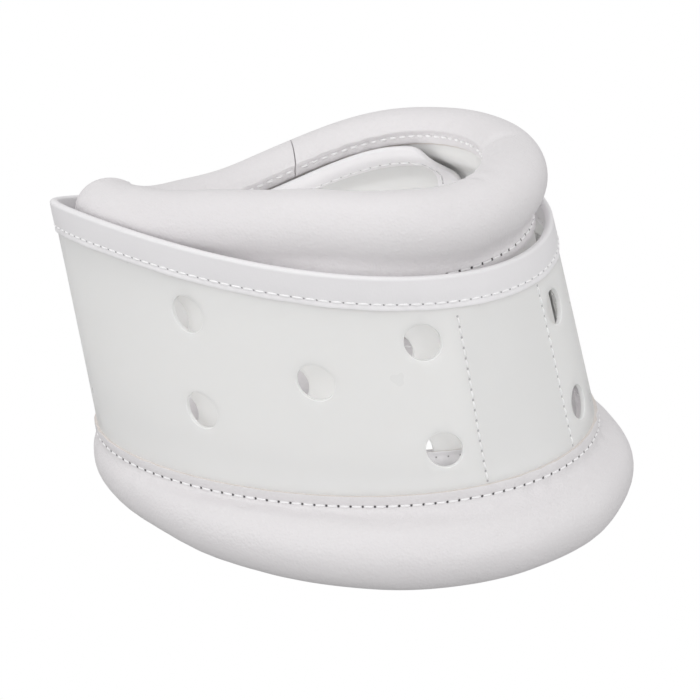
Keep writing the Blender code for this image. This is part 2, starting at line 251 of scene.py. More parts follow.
def sweep(name, loops, materials, along=None, across=None, outer=0):
    """A closed body through cross-sections (rows, points, 3). along and across are its UVs.

    Where outer is given, the faces past the outer points and at the last point are raw edges.
    """
    rows, count = loops.shape[:2]
    points = loops.reshape(-1, 3)
    quads, slots = [], []
    for k in range(count):
        n = (k + 1) % count
        for row in range(rows - 1):
            a, b = row * count + k, row * count + n
            quads.append([a, a + count, b + count, b])
            slots.append(int(outer > 0 and k in (outer - 1, count - 1)))
    caps = [list(range(count))[::-1], list(range((rows - 1) * count, rows * count))]
    sample = quads[:: max(len(quads) // 20000, 1)]
    faces = quads + caps
    slots += [0, 0]
    middle = points.reshape(rows, count, 3).mean(axis=1)
    turned = 0.0
    for face in sample:
        centre = points[face].mean(axis=0)
        normal = np.cross(points[face[1]] - points[face[0]], points[face[2]] - points[face[0]])
        turned += np.dot(normal, centre - middle[face[0] // count])
    if turned < 0:
        faces = [face[::-1] for face in faces]
    uvs = None
    if along is not None:
        flat = np.stack([np.repeat(along, count), across.reshape(-1)], -1)
        uvs = [flat[face] for face in faces]
    return make_object(name, points, faces, materials, uvs, slots)


def grid_points(loops, spacing):
    """Even points inside the first loop and outside the others, clear of every loop."""
    low, high = loops[0].min(axis=0), loops[0].max(axis=0)
    xs, ys = (np.linspace(a, b, max(int((b - a) / spacing), 2) + 1) for a, b in zip(low, high))
    grid = np.stack(np.meshgrid(xs, ys), -1).reshape(-1, 2)
    keep = inside_loop(grid, loops[0])
    for loop in loops:
        keep &= distance_to_loop(grid, loop) > 0.6 * spacing
    for loop in loops[1:]:
        keep &= ~inside_loop(grid, loop)
    return grid[keep]


def fill(loops, spacing):
    """A flat sheet inside the first loop, with the others as holes: its points, triangles and rim edges."""
    points, edges = [Vector(p) for p in grid_points(loops, spacing)], []
    for loop in loops:
        first = len(points)
        points += [Vector(p) for p in loop]
        edges += [(first + k, first + (k + 1) % len(loop)) for k in range(len(loop))]
    verts, _, faces, _, _, _ = delaunay_2d_cdt(points, edges, [], 0, 1e-5)
    verts = np.array([tuple(v) for v in verts])
    centres = np.array([verts[list(f)].mean(axis=0) for f in faces])
    good = inside_loop(centres, loops[0])
    for loop in loops[1:]:
        good &= ~inside_loop(centres, loop)
    faces = [list(f) for f, ok in zip(faces, good) if ok]
    directed = {(f[k], f[(k + 1) % 3]) for f in faces for k in range(3)}
    rims = [e for e in directed if (e[1], e[0]) not in directed]
    used = sorted({v for f in faces for v in f})
    index = {v: k for k, v in enumerate(used)}
    return verts[used], [[index[v] for v in f] for f in faces], [(index[a], index[b]) for a, b in rims]


def plate(name, face, outline, holes, spacing, inset, thick, rim, materials, metric):
    """A curved sheet with rounded rims: outline and holes are loops of (angle, z), made solid inwards."""
    flat = lambda p: np.stack([np.interp(p[:, 0], metric[0], metric[1]), p[:, 1]], -1)
    unflat = lambda q: np.stack([np.interp(q[:, 0], metric[1], metric[0]), q[:, 1]], -1)
    loops = [flat(np.asarray(loop)) for loop in (outline, *holes)]
    verts, faces, rims = fill(loops, spacing)
    side = {}
    for a, b in rims:
        along = verts[b] - verts[a]
        out = np.array([along[1], -along[0]]) / max(np.linalg.norm(along), 1e-9)
        for v in (a, b):
            side[v] = side.get(v, 0) + out
    count = len(verts)
    place = lambda q, depth: face(unflat(q)[:, 0], q[:, 1], inset(unflat(q)[:, 0]) + depth)
    edge = sorted(side)
    row_of = {v: k for k, v in enumerate(edge)}
    outs = np.array([side[v] / max(np.linalg.norm(side[v]), 1e-9) for v in edge])
    layers = [place(verts, 0.0), place(verts, thick)]
    offsets = [2 * count]
    soft, far = (rim * 0.3, rim * 0.7), thick - rim
    for depth, push in (soft, (rim, rim), (far, rim), (thick - rim * 0.3, rim * 0.7)):
        layers.append(place(verts[edge] + outs * push, depth))
        offsets.append(offsets[-1] + len(edge))
    solid = [f for f in faces] + [[count + v for v in reversed(f)] for f in faces]
    slots = [0] * len(solid)
    for a, b in rims:
        ladder_a = [a] + [offsets[k] + row_of[a] for k in range(4)] + [count + a]
        ladder_b = [b] + [offsets[k] + row_of[b] for k in range(4)] + [count + b]
        for k in range(5):
            solid.append([ladder_b[k], ladder_a[k], ladder_a[k + 1], ladder_b[k + 1]])
            slots.append(1 if len(materials) > 1 else 0)
    points = np.concatenate(layers)
    solid = outward_faces(points, solid)
    return make_object(name, points, solid, materials, None, slots, 60.0)


def inside_loop(points, loop):
    x, y = points[:, 0], points[:, 1]
    inside = np.zeros(len(points), bool)
    for a, b in zip(loop, np.roll(loop, -1, axis=0)):
        crosses = (a[1] > y) != (b[1] > y)
        rise = b[1] - a[1]
        inside ^= crosses & (x < (b[0] - a[0]) * (y - a[1]) / (rise if rise else 1e-12) + a[0])
    return inside


def distance_to_loop(points, loop):
    best = np.full(len(points), 1e9)
    for a, b in zip(loop, np.roll(loop, -1, axis=0)):
        d = b - a
        t = np.clip(((points - a) @ d) / max(d @ d, 1e-12), 0, 1)
        best = np.minimum(best, np.linalg.norm(points - a - t[:, None] * d, axis=1))
    return best


# ---------------------------------------------------------------- bodies

def rides(obj, body, node):
    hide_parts(node)
    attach(obj, body)


def spans(gap=END_GAP):
    """The two stretches that each ring is made in: the long one from the closure to the cut, and the rear
    half's far end.
    """
    return (("", CLOSURE + gap, CUT), ("_right_end", CUT, CLOSURE + 360 - gap))


def carry(obj, tail, band, stem):
    """Fixes a ring's far-end piece to the rear body and hides the part that it replaces. The other piece is
    baked in place, fixed to no body, and the parts of both halves are hidden.
    """
    if tail:
        rides(obj, band + "_rear", stem + "_rear")
        return
    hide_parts(stem + "_front", stem + "_rear")
    end = (FLEX_POINT + FLEX_NORMAL * FLEX_REACH) * MM
    tuple(end)
    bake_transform(obj)


# ---------------------------------------------------------------- materials

def put(tree, node, socket, value):
    target = node.inputs[socket]
    if isinstance(value, bpy.types.NodeSocket):
        tree.links.new(value, target)
    else:
        target.default_value = value


def add_node(tree, kind, inputs, **settings):
    """A new node with these settings, and with these inputs as values or links."""
    node = tree.nodes.new("ShaderNode" + kind)
    for key, value in settings.items():
        setattr(node, key, value)
    for socket, value in inputs.items():
        put(tree, node, socket, value)
    return node


class Nodes:
    """Short calls for building a node tree."""

    def __init__(self, name):
        self.material = bpy.data.materials.new(name)
        self.material.use_nodes = True
        self.tree = self.material.node_tree
        self.shader = self.tree.nodes["Principled BSDF"]

    def new(self, kind, output, inputs, **settings):
        return add_node(self.tree, kind, inputs, **settings).outputs[output]

    def math(self, operation, a, b=0.0):
        return self.new("Math", 0, {0: a, 1: b}, operation=operation)

    def mix(self, factor, a, b):
        a, b = (v if isinstance(v, bpy.types.NodeSocket) else (*v, 1) for v in (a, b))
        return self.new("Mix", 2, {0: factor, 6: a, 7: b}, data_type="RGBA")

    def noise(self, scale, detail=3.0, roughness=0.55):
        inputs = {"Scale": scale, "Detail": detail, "Roughness": roughness, "Vector": self.place("Object")}
        return self.new("TexNoise", "Fac", inputs)

    def cells(self, scale):
        return self.new("TexVoronoi", "Distance", {"Scale": scale, "Vector": self.place("Object")})

    def place(self, kind):
        return self.new("TexCoord", kind, {})

    def ramp(self, value, low, high):
        inputs = {"Value": value, "From Min": low, "From Max": high}
        return self.new("MapRange", 0, inputs, interpolation_type="SMOOTHSTEP")

    def bump(self, height, strength, distance, normal=None):
        inputs = {"Height": height, "Strength": strength, "Distance": distance}
        if normal is not None:
            inputs["Normal"] = normal
        return self.new("Bump", 0, inputs)

    def finish(self, **values):
        for key, value in values.items():
            put(self.tree, self.shader, key.replace("_", " "), value)
        return self.material

    def lets_light_through(self):
        """Light reaches what lies behind, as it does through a milky sheet."""
        shadow = self.new("LightPath", "Is Shadow Ray", {})
        clear = self.new("BsdfTransparent", 0, {})
        both = self.new("MixShader", 0, {0: shadow, 1: self.shader.outputs[0], 2: clear})
        put(self.tree, self.tree.nodes["Material Output"], "Surface", both)

    def needle_holes(self, radius):
        """1 inside each needle hole: the UVs count stitches along the seam, and lie at 0 across it."""
        split = add_node(self.tree, "SeparateXYZ", {"Vector": self.place("UV")})
        along, across = self.math("PINGPONG", split.outputs["X"], 0.5), split.outputs["Y"]
        along, across = (self.math("MULTIPLY", v, v) for v in (along, across))
        distance = self.math("SQRT", self.math("ADD", along, across))
        return self.math("SUBTRACT", 1.0, self.ramp(distance, 0.55 * radius, 1.25 * radius))


VINYL = (0.768, 0.748, 0.757)
CREAM = (0.66, 0.61, 0.58)


def vinyl_material():
    n = Nodes("vinyl_cover_leathergrain")
    holes = n.needle_holes(0.46 / PITCH)
    tone = n.mix(n.noise(35.0, 2.0), (VINYL[0] * 0.985, VINYL[1] * 0.98, VINYL[2] * 0.985), VINYL)
    # Painted shade: each needle hole is painted near black for the shade inside it, and the bump below
    # dents it too.
    colour = n.mix(holes, tone, (0.09, 0.085, 0.09))
    pebbles, pores = n.math("MULTIPLY", n.cells(1150.0), 0.6), n.math("MULTIPLY", n.noise(900.0, 4.0), 0.5)
    grain = n.math("ADD", pebbles, pores)
    soft = n.bump(n.noise(110.0, 4.0), 0.5, 0.0008)
    fine = n.bump(grain, 0.6, 0.0003, soft)
    normal = n.bump(n.math("SUBTRACT", 1.0, holes), 0.8, 0.0005, fine)
    rough = n.math("ADD", n.math("MULTIPLY", n.noise(140.0, 3.0), 0.16), 0.36)
    return n.finish(Base_Color=colour, Roughness=rough, Normal=normal, Specular_IOR_Level=0.42)


def tape_material():
    n = Nodes("vinyl_binding_tape")
    holes = n.needle_holes(0.30 / PITCH)
    tone = n.mix(n.noise(60.0, 2.0), (0.825, 0.81, 0.825), (0.85, 0.837, 0.85))
    # Painted shade: each needle hole is painted dark grey for the shade inside it, and the bump below dents
    # it too.
    colour = n.mix(holes, tone, (0.42, 0.41, 0.42))
    soft = n.bump(n.noise(160.0, 3.0), 0.3, 0.0004)
    fine = n.bump(n.cells(1400.0), 0.18, 0.00012, soft)
    normal = n.bump(n.math("SUBTRACT", 1.0, holes), 0.7, 0.0004, fine)
    rough = n.math("ADD", n.math("MULTIPLY", n.noise(180.0, 3.0), 0.14), 0.34)
    return n.finish(Base_Color=colour, Roughness=rough, Normal=normal, Specular_IOR_Level=0.45)


def edge_material():
    n = Nodes("vinyl_raw_edge")
    weave = n.noise(2600.0, 2.0)
    colour = n.mix(weave, CREAM, (0.78, 0.74, 0.71))
    return n.finish(Base_Color=colour, Roughness=0.85, Normal=n.bump(weave, 0.5, 0.0002))


def sheet_material():
    n = Nodes("translucent_polyethylene")
    tone = n.mix(n.noise(22.0, 2.0), (0.855, 0.852, 0.844), (0.875, 0.872, 0.864))
    rough = n.math("ADD", n.math("MULTIPLY", n.noise(90.0, 2.0), 0.12), 0.24)
    normal = n.bump(n.noise(45.0, 2.0), 0.12, 0.0008)
    material = n.finish(Base_Color=tone, Roughness=rough, Normal=normal, Specular_IOR_Level=0.45)
    n.finish(Subsurface_Weight=0.3, Subsurface_Radius=(1.0, 0.97, 0.92), Subsurface_Scale=0.003, Alpha=0.84)
    n.lets_light_through()
    return material


def rim_material():
    n = Nodes("polyethylene_cut_edge_and_highlight")
    # Lighter than the sheet: partly the whiter look of a cut edge, partly a painted highlight for the
    # bright line along the rims.
    tone = n.mix(n.noise(700.0, 2.0), (0.86, 0.86, 0.855), (0.93, 0.93, 0.925))
    return n.finish(Base_Color=tone, Roughness=0.4, Alpha=0.92)


def thread_material():
    n = Nodes("polyester_thread")
    twist = n.noise(1800.0, 2.0)
    colour = n.mix(twist, (0.90, 0.89, 0.90), (0.98, 0.975, 0.98))
    return n.finish(Base_Color=colour, Roughness=0.6, Sheen_Weight=0.3, Normal=n.bump(twist, 0.5, 0.0002))


def foam_material():
    n = Nodes("open_cell_foam")
    pores = n.cells(900.0)
    colour = n.mix(pores, (0.62, 0.58, 0.46), (0.84, 0.80, 0.68))
    return n.finish(Base_Color=colour, Roughness=0.95, Normal=n.bump(pores, 0.8, 0.0006))


def hook_material():
    n = Nodes("moulded_hooks")
    hooks = n.cells(1300.0)
    colour = n.mix(hooks, (0.86, 0.86, 0.85), (0.70, 0.70, 0.69))
    return n.finish(Base_Color=colour, Roughness=0.6, Normal=n.bump(hooks, 0.9, 0.0006))


def loop_material():
    n = Nodes("brushed_loops")
    pile = n.noise(1500.0, 5.0, 0.7)
    colour = n.mix(pile, (0.72, 0.72, 0.71), (0.90, 0.90, 0.89))
    return n.finish(Base_Color=colour, Roughness=0.95, Sheen_Weight=0.5, Normal=n.bump(pile, 0.9, 0.0008))


def hole_shade_material():
    n = Nodes("needle_hole_shadow")
    # Painted shade: dark grey for the inside of the needle holes, with a little random variation.
    tone = n.mix(n.noise(500.0, 1.0), (0.42, 0.41, 0.42), (0.52, 0.51, 0.52))
    return n.finish(Base_Color=tone, Roughness=0.9)


M = {
    "vinyl": vinyl_material(), "tape": tape_material(), "edge": edge_material(), "sheet": sheet_material(),
    "rim": rim_material(), "thread": thread_material(), "foam": foam_material(),
    "hook": hook_material(), "loop": loop_material(), "hole": hole_shade_material(),
}


# ---------------------------------------------------------------- bands

def vent_loop(face, angle, z, count=56):
    """A round punched vent as a loop of (angle, z)."""
    a, h = np.array([angle]), np.array([z])
    per_degree = np.linalg.norm(face(a + 0.5, h) - face(a - 0.5, h))
    per_mm = np.linalg.norm(face(a, h + 0.5) - face(a, h - 0.5))
    turn = np.linspace(0, 2 * math.pi, count, endpoint=False)
    radius = VENT_RADIUS + RIM
    return np.stack([angle + radius * np.cos(turn) / per_degree, z + radius * np.sin(turn) / per_mm], -1)


def band(name, face, low, high, vents, body, stem):
    middle = lambda a: face(a, (low(a) + high(a)) / 2)
    for tail, start, end in spans():
        angles = even_angles(middle, start, end, GRID)
        fine = np.linspace(start, end, 400)
        metric = (fine, arc_length(middle, fine))
        bottom = np.stack([angles, low(angles)], -1)
        top = np.stack([angles, high(angles)], -1)[::-1]
        rise = np.linspace(0, 1, 26)[1:-1]
        up = [(end, low(end) + (high(end) - low(end)) * t) for t in rise]
        down = [(start, high(start) + (low(start) - high(start)) * t) for t in rise]
        holes = []
        for angle, z in vents:
            angle = angle + 360 if angle < CLOSURE else angle
            if start < angle < end:
                holes.append(vent_loop(face, angle, z))
        outline = np.concatenate([bottom, up, top, down])
        obj = plate(name + tail, face, outline, holes, GRID, lambda a: 0.0 * a, SHEET, RIM,
                    [M["sheet"], M["rim"]], metric)
        carry(obj, tail, body, stem)


# ---------------------------------------------------------------- tapes

def fold(down, pinch):
    """A tape folded over the sheet's edge as (inset, depth) points, and how many of them are outside."""
    near, far, centre, radius = -SNUG, SHEET + SNUG, SHEET / 2, SHEET / 2 + SNUG
    turn = np.linspace(0, math.pi, 9)
    arch = lambda r, turn: [(centre - r * math.cos(t), -r * 0.75 * math.sin(t)) for t in turn]
    path = [(near - TAPE - p, d) for d, p in zip(down, pinch)] + arch(radius + TAPE, turn)
    path += [(far + TAPE + p, d) for d, p in zip(down[::-1], pinch[::-1])]
    inside = [(far, down[k]) for k in (0, 5, 7)] + arch(radius, turn[::-2])
    inside += [(near, down[k]) for k in (7, 5, 0)]
    return np.array(path + inside), len(path)


def tape_loops(face, edge, depth, upward, angles, seam):
    """A tape folded over a band's edge: its cross-sections, UV distances and count of outer points."""
    sign = 1 if upward else -1
    top = edge(angles)
    down = depth, depth - 0.8, seam + 1.0, seam, seam - 1.0, 3.5, 1.2, 0.2
    whole, outer = fold(down, (0.0, 0.06, 0.0, -0.12, 0.02, 0.05, 0.0, 0.0))
    arc = arc_length(lambda a: face(a, edge(a)), angles)
    loops = np.empty((len(angles), len(whole), 3))
    lift = 0.10 * np.cos(2 * math.pi * arc / PITCH) + 0.14 * waves(5, angles, 0.0, 30.0, slow=8, fast=34)
    for k, (inset, d) in enumerate(whole):
        proud = lift * np.exp(-((d - depth) / 2.2) ** 2) * (1 if inset > SHEET / 2 else -1) * (k < outer)
        loops[:, k] = face(angles, top - sign * d, inset + proud)
    across = np.array([(d - seam) / PITCH for _, d in whole])
    return loops, arc / PITCH, np.tile(across, (len(angles), 1)), outer


def edge_tape(name, face, edge, depth, seam, upward, body, stem):
    for tail, start, end in spans():
        angles = even_angles(lambda a: face(a, edge(a)), start, end, 1.0)
        loops, along, across, outer = tape_loops(face, edge, depth, upward, angles, seam)
        obj = sweep(name + tail, loops, [M["tape"], M["edge"]], along, across, outer)
        carry(obj, tail, body, stem)


# ---------------------------------------------------------------- rolls

def roll_frame(spec, angle):
    angle = np.asarray(angle, float)
    along = ring(spec, angle + 0.5) - ring(spec, angle - 0.5)
    along[..., 2] = 0
    along = unit(along)
    outward = np.stack([along[..., 1], -along[..., 0], 0 * along[..., 0]], -1)
    return ring(spec, angle), outward, along


def band_offset(spec, face, angle, v):
    """How far outward of the roll's centre the band's mid-line lies at height v above the centre."""
    centre, outward, along = roll_frame(spec, angle)
    turn = np.array(angle, float)
    height = centre[..., 2] + v
    for _ in range(8):
        here = ((face(turn, height) - centre) * along).sum(-1)
        slope = ((face(turn + 0.2, height) - centre) * along).sum(-1) - here
        turn = turn - np.clip(0.2 * here / np.maximum(slope, 0.03), -2.5, 2.5)
    return ((face(turn, height) - centre) * outward).sum(-1) - SHEET / 2


def hermite(p0, t0, p1, t1, steps):
    """Points between p0 and p1, for arrays of (rows, 2)."""
    out = []
    for s in steps:
        a, b = 2 * s ** 3 - 3 * s ** 2 + 1, s ** 3 - 2 * s ** 2 + s
        c, d = -2 * s ** 3 + 3 * s ** 2, s ** 3 - s ** 2
        out.append(a * p0 + b * t0 + c * p1 + d * t1)
    return out


def roll_outline(spec, face, angle, side, ends, seam):
    """The cover's outline (rows, points, 2) as (outward, along the leg), from edge to edge."""
    offset = lambda v: band_offset(spec, face, angle, side * v)
    half = SHEET / 2 + SNUG + SKIN
    halves = []
    for sign, end in zip((1, -1), ends):
        stitch = end - seam
        v = np.full(len(angle), 0.8 * ROLL_RADIUS)
        for _ in range(3):
            u = offset(v) + sign * half
            v = np.maximum(np.sqrt(np.maximum(ROLL_RADIUS ** 2 - u ** 2, 0)), 0.42 * ROLL_RADIUS)
        u = np.clip(offset(v) + sign * half, -0.97 * ROLL_RADIUS, 0.97 * ROLL_RADIUS)
        root = np.arctan2(v, u)
        leave = root - sign * math.radians(26)
        if sign < 0 and side < 0:
            leave = np.full(len(angle), math.radians(INNER_LEAVE))
        first = np.minimum(v + 3.6, stitch - 0.5)
        leg = []
        for h, pinch in ((end, 0.1), (end - 0.25, 0.0), (stitch + 1.1, 0.0), (stitch + 0.5, 0.12),
                         (stitch, 0.26), (stitch - 0.45, 0.16)):
            h = np.maximum(h, first)
            leg.append(np.stack([offset(h) + sign * (half - pinch), h], -1))
        p0 = np.stack([offset(first) + sign * (half - 0.05), first], -1)
        slope = np.stack([offset(first - 0.5) - offset(first), np.full(len(angle), -0.5)], -1)
        p1 = ROLL_RADIUS * np.stack([np.cos(leave), np.sin(leave)], -1)
        t1 = np.stack([sign * np.sin(leave), -sign * np.cos(leave)], -1)
        size = np.linalg.norm(p1 - p0, axis=-1, keepdims=True)
        bend = hermite(p0, unit(slope) * size * 0.8, p1, t1 * size * 1.1, np.linspace(0, 1, 9)[:-1])
        halves.append((leg + bend, leave))
    (outer, start), (inner, stop) = halves
    stop = stop - 2 * math.pi
    arc = [start + (stop - start) * t for t in np.linspace(0, 1, 34)]
    circle = [ROLL_RADIUS * np.stack([np.cos(a), np.sin(a)], -1) for a in arc]
    return np.stack(outer + circle + inner[::-1], 1), 4


# A roll's closed end: how far it draws in, and how far it stands out, row by row.
CAP = ((0.996, 0.12), (0.97, 0.22), (0.85, 0.26), (0.55, 0.27), (0.30, 0.26), (0.10, 0.18), (0.02, 0.0))


def roll_grid(spec, face, angles, side, ends, seam, seed):
    """The cover as rows of closed loops, with its UV distances and the number of outer points."""
    outline, stitch_index = roll_outline(spec, face, angles, side, [end(angles) for end in ends], seam)
    rows, count = outline.shape[:2]
    tangent = unit(np.roll(outline, -1, 1) - np.roll(outline, 1, 1))
    tangent[:, 0], tangent[:, -1] = tangent[:, 1], tangent[:, -2]
    normal = np.stack([-tangent[..., 1], tangent[..., 0]], -1)
    out = np.sign((normal[:, count // 2] * outline[:, count // 2]).sum(-1))[:, None, None]
    normal = normal * out
    steps = np.linalg.norm(np.diff(outline, axis=1), axis=2)
    length = np.concatenate([np.zeros((rows, 1)), np.cumsum(steps, axis=1)], 1)
    near = np.abs(length - length[:, stitch_index:stitch_index + 1])
    last = count - 1 - stitch_index
    other = np.abs(length - length[:, last:last + 1])
    distance = np.minimum(near, other)
    arc = arc_length(lambda a: ring(spec, a), angles)
    lumps = relief(seed, angles[:, None], length, distance, arc[:, None], side)
    outer = outline + normal * lumps[..., None]
    inner = outline + normal * (np.minimum(lumps, 0.0) - SKIN)[..., None]
    across_legs = unit(outline[:, -1] - outline[:, 0]) * SKIN
    inner[:, 0], inner[:, -1] = outline[:, 0] + across_legs, outline[:, -1] - across_legs
    inner = inner[:, ::-1]
    flat = np.concatenate([outer, inner], 1)
    centre, outward, _ = roll_frame(spec, angles)
    up = np.array((0.0, 0.0, float(side)))
    loops = centre[:, None] + outward[:, None] * flat[..., :1] + up * flat[..., 1:]
    loops[..., 2] = np.maximum(loops[..., 2], 0.0)
    near_leg = np.arange(count)[None] < count // 2
    signed = np.where(near_leg, length - length[:, stitch_index:stitch_index + 1], FAR_FROM_SEAM)
    across = np.concatenate([signed, signed * 0 + FAR_FROM_SEAM], 1) / PITCH
    return loops, arc / PITCH, across, count


def relief(seed, angle, length, distance, arc, side):
    """How far the cover stands off its plain round shape, in millimetres."""
    total = length[:, -1:]
    belly = np.clip((distance - 3.0) / 6.0, 0, 1)
    lumps = 0.22 * waves(seed, angle, length, total, slow=3, fast=16) * belly
    gathers = waves(seed + 1, angle, distance, 60.0, count=18, slow=26, fast=74)
    lumps = lumps + 0.17 * gathers * np.exp(-((distance - 3.2) / 2.6) ** 2)
    stitch = np.cos(2 * math.pi * arc / PITCH)
    lumps = lumps - 0.05 * stitch * np.exp(-(distance / 1.1) ** 2)
    for spot, width, depth, middle, reach in CREASES[side]:
        along = np.exp(-((angle - spot - 0.9 * np.sin(length / 6.0)) / width) ** 2)
        share = length / total
        lumps = lumps - depth * along * np.exp(-((share - middle) / reach) ** 2)
    return lumps


# Each roll's creases: angle, width in degrees, depth, and place and reach round the outline.
CREASES = {
    1: ((62.0, 2.0, 0.25, 0.2, 0.12), (118.0, 1.6, 0.3, 0.82, 0.12), (-20.0, 1.4, 0.5, 0.85, 0.12),
        (25.0, 1.3, 0.5, 0.86, 0.1), (214.0, 2.0, 0.4, 0.84, 0.12)),
    -1: ((153.0, 1.3, 1.5, 0.80, 0.16), (160.0, 2.2, 0.5, 0.76, 0.13), (176.0, 2.0, 0.5, 0.84, 0.12),
         (191.0, 2.2, 1.1, 0.79, 0.12), (20.0, 1.6, 0.8, 0.84, 0.14), (-14.0, 1.5, 0.9, 0.84, 0.14),
         (4.0, 1.8, 0.5, 0.80, 0.1), (-52.0, 2.0, 0.5, 0.84, 0.12), (168.0, 2.2, 0.45, 0.14, 0.10),
         (150.0, 2.6, 0.35, 0.12, 0.10), (36.0, 2.4, 0.3, 0.14, 0.08)),
}


def roll(name, spec, face, side, ends, seam, seed, body, stem):
    for tail, start, finish in spans():
        angles = even_angles(lambda a: ring(spec, a), start, finish, 1.35)
        loops, along, across, count = roll_grid(spec, face, angles, side, ends, seam, seed)
        _, _, direction = roll_frame(spec, angles)
        end, order = (-1, 1) if tail else (0, -1)
        cap = cap_loops(loops[end], direction[end] * order, count)
        loops = np.concatenate([loops, cap[::order]][::order])
        flat = np.full(len(cap), along[end])
        along = np.concatenate([along, flat][::order])
        plain = np.full((len(cap), across.shape[1]), FAR_FROM_SEAM)
        across = np.concatenate([across, plain][::order])
        obj = sweep(name + tail, loops, [M["vinyl"], M["edge"]], along, across, count)
        carry(obj, tail, body, stem)


def cap_loops(loop, direction, count):
    """The end's rows: the outer skin closes, and the inner skin follows behind it."""
    rows = []
    for s, d in CAP:
        row = loop.copy()
        for part, depth in ((slice(0, count), d), (slice(count, 2 * count), d - SKIN)):
            skin = loop[part]
            middle = (skin + skin[::-1]) / 2
            row[part] = middle + (skin - middle) * s + direction * depth
        rows.append(row)
    return np.array(rows)


def foam(name, spec, face, side, body, stem):
    """The core: round, with a flat where the upper band's lip passes under it."""
    turn = np.linspace(0, 2 * math.pi, 24, endpoint=False)
    radius = ROLL_RADIUS - SKIN - 0.9
    for tail, start, finish in spans(1.6):
        angles = even_angles(lambda a: ring(spec, a), start, finish, 3.0)
        centre, outward, _ = roll_frame(spec, angles)
        loops = np.empty((len(angles), len(turn), 3))
        for k, t in enumerate(turn):
            u, v = radius * math.cos(t) + 0 * angles, radius * math.sin(t)
            if side < 0 and v < UPPER_SHEET_TOP + 2:
                u = np.maximum(u, band_offset(spec, face, angles, v) + SHEET / 2 + 0.2)
                u = np.minimum(u, math.sqrt((radius + 0.5) ** 2 - v * v))
            loops[:, k] = centre + outward * u[:, None] + np.array((0, 0, v))
        obj = sweep(name + tail, loops, [M["foam"]])
        carry(obj, tail, body, stem)


# ---------------------------------------------------------------- stitches

def stitch_row(name, places, normals, closed_from=0.12, size=THREAD):
    """One mesh of stitches: each is a thread that comes up at one needle hole and goes down at the next."""
    sides, steps = 7, 7
    points, faces = [], []
    for k in range(len(places) - 1):
        a, b = places[k], places[k + 1]
        up = unit(normals[k] + normals[k + 1])
        along = unit(b - a)
        across = np.cross(up, along)
        first = len(points)
        for step in range(steps):
            t = step / (steps - 1)
            rise = size * (1.15 * math.sin(math.pi * t) ** 0.55 - 0.75)
            centre = a + (b - a) * (closed_from + (1 - 2 * closed_from) * t) + up * rise
            lean = math.cos(math.pi * t)
            tilt = unit(up - along * 0.9 * lean)
            thick = size * (0.8 + 0.2 * math.sin(math.pi * t))
            for j in range(sides):
                turn = 2 * math.pi * j / sides
                points.append(centre + thick * (across * math.cos(turn) + tilt * math.sin(turn)))
        for step in range(steps - 1):
            for j in range(sides):
                n = (j + 1) % sides
                row = first + step * sides
                faces.append([row + j, row + n, row + sides + n, row + sides + j])
        faces.append([first + j for j in reversed(range(sides))])
        faces.append([first + (steps - 1) * sides + j for j in range(sides)])
    points = np.array(points)
    return make_object(name, points, outward_faces(points, faces), [M["thread"]], sharp=80.0)


def seam_places(path, start, end):
    """Needle holes at the stitch pitch along a path, from the end where the seam begins."""
    fine = np.linspace(start, end, 1441)
    length = arc_length(path, fine)
    return np.interp(np.arange(0.0, length[-1], PITCH), length, fine)


def ring_stitches(name, surface, path, body, stem, size=THREAD):
    """Stitches round the collar. Holes fall at whole numbers of the pitch, as the needle holes' UVs do."""
    for tail, start, end in spans():
        angles = seam_places(path, start, end)
        places, normals = surface(angles)
        obj = stitch_row(name + tail, places, normals, 0.12 if size == THREAD else 0.2, size)
        carry(obj, tail, body, stem)


def roll_seam(spec, face, side, end, seam, sign):
    def surface(angles):
        centre, outward, _ = roll_frame(spec, angles)
        v = end(angles) - seam
        u = band_offset(spec, face, angles, side * v) + sign * (SHEET / 2 + SNUG + SKIN - 0.24)
        up = np.array((0.0, 0.0, float(side)))
        return centre + outward * u[:, None] + up * v[:, None], outward * sign
    return surface


def face_seam(face, height, inset):
    def surface(angles):
        return face(angles, height(angles), inset), lower_normal(angles)
    return surface


def straight_seam(name, angle, low, high, body, node):
    """A row of stitches down the lower band's outer face, with their needle holes."""
    heights = np.arange(low, high, PITCH * 0.86)
    turn = np.full(len(heights), angle) + 0.12 * np.sin(heights / 9.0)
    places = lower_face(turn, heights, 0.0)
    obj = stitch_row(name, places, lower_normal(turn), 0.16)
    rides(obj, body, node)
    holes = pin_holes(name.replace("stitches", "needle_holes"), places, lower_normal(turn))
    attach(holes, body)


def pin_holes(name, places, normals):
    """Small dark dished discs where the needle went through a bare sheet. Their dark grey is painted shade,
    standing for the shade inside each hole.
    """
    points, faces = [], []
    for place, normal in zip(places, normals):
        across = unit(np.cross(normal, (0.0, 0.0, 1.0)))
        up = np.cross(across, normal)
        first = len(points)
        for radius, lift in ((0.42, -0.02), (0.36, 0.04), (0.12, 0.01)):
            for j in range(8):
                turn = 2 * math.pi * j / 8
                spoke = across * math.cos(turn) + up * math.sin(turn)
                points.append(place + radius * spoke + normal * lift)
        for row in range(2):
            for j in range(8):
                n, near, far = (j + 1) % 8, first + row * 8, first + row * 8 + 8
                faces.append([near + j, near + n, far + n, far + j])
        faces.append([first + 16 + j for j in range(8)])
        faces.append([first + j for j in reversed(range(8))])
    points = np.array(points)
    return make_object(name, points, outward_faces(points, faces), [M["hole"]], sharp=80.0)


# ---------------------------------------------------------------- patches and closure

